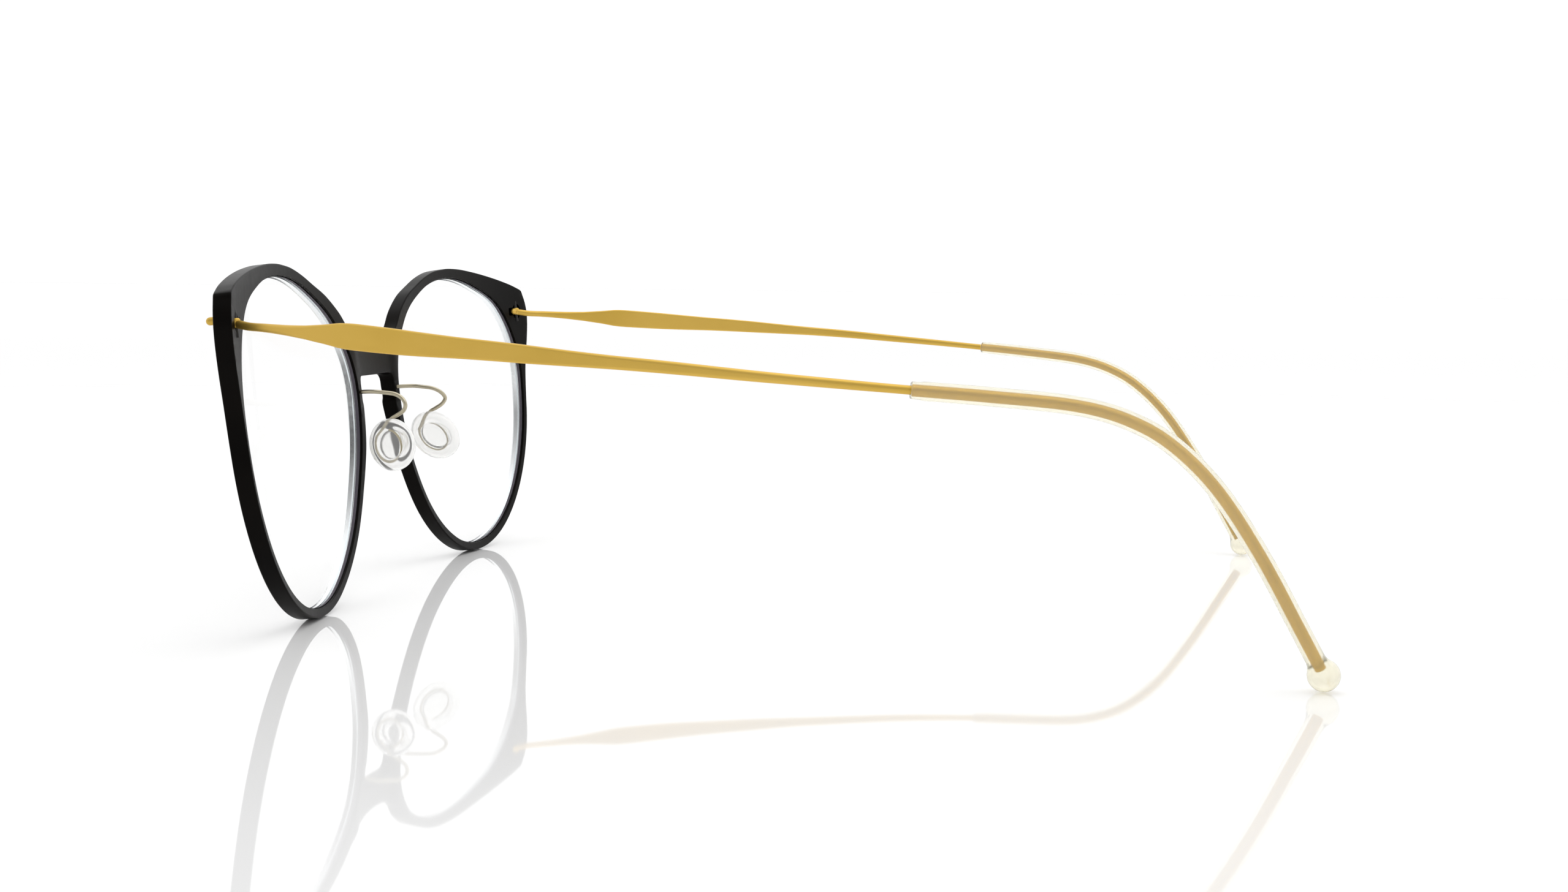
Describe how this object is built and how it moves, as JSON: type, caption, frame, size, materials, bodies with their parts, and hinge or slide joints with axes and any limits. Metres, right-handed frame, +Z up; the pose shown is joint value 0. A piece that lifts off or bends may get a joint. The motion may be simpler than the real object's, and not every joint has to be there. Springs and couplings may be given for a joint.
{
  "type": "eyeglasses",
  "caption": "Full-rim eyeglasses with a thin dark front, wire temples with flattened blades and clear ball-ended sleeves, and clear nose pads on wire arms",
  "frame": {"origin": "middle of the base: under the middle of the bounding box, on the plane the rims and the sleeve ends stand on", "axes": "the wearer looks along -Y, +X is the wearer's left, +Z is up; the temples run back along +Y"},
  "size_m": [0.1576, 0.1396, 0.0479],
  "materials": {
    "front": "satin black",
    "lens": "clear, polished",
    "pin": "grey steel",
    "gilt": "satin gold-coloured titanium",
    "silicone": "clear silicone"
  },
  "bodies": {
    "front": {"front_frame": "front", "lens_left": "lens", "lens_right": "lens", "hinge_pin_left": "pin", "hinge_pin_right": "pin", "hinge_stud_left": "gilt", "hinge_stud_right": "gilt", "nose_arm_left": "gilt", "nose_arm_right": "gilt", "nose_pad_left": "silicone", "nose_pad_right": "silicone"},
    "left_side": {"temple_left": "gilt", "sleeve_left": "silicone"},
    "right_side": {"temple_right": "gilt", "sleeve_right": "silicone"}
  },
  "joints": [
    {"name": "fold_left", "type": "hinge", "parent": "front", "child": "left_side", "pos_m": [0.05956, -0.06213, 0.0404], "axis": [0, -0.1253, 0.9921], "range_deg": [0, 82]},
    {"name": "fold_right", "type": "hinge", "parent": "front", "child": "right_side", "pos_m": [-0.05956, -0.06213, 0.0404], "axis": [0, 0.1253, -0.9921], "range_deg": [0, 74]}
  ]
}
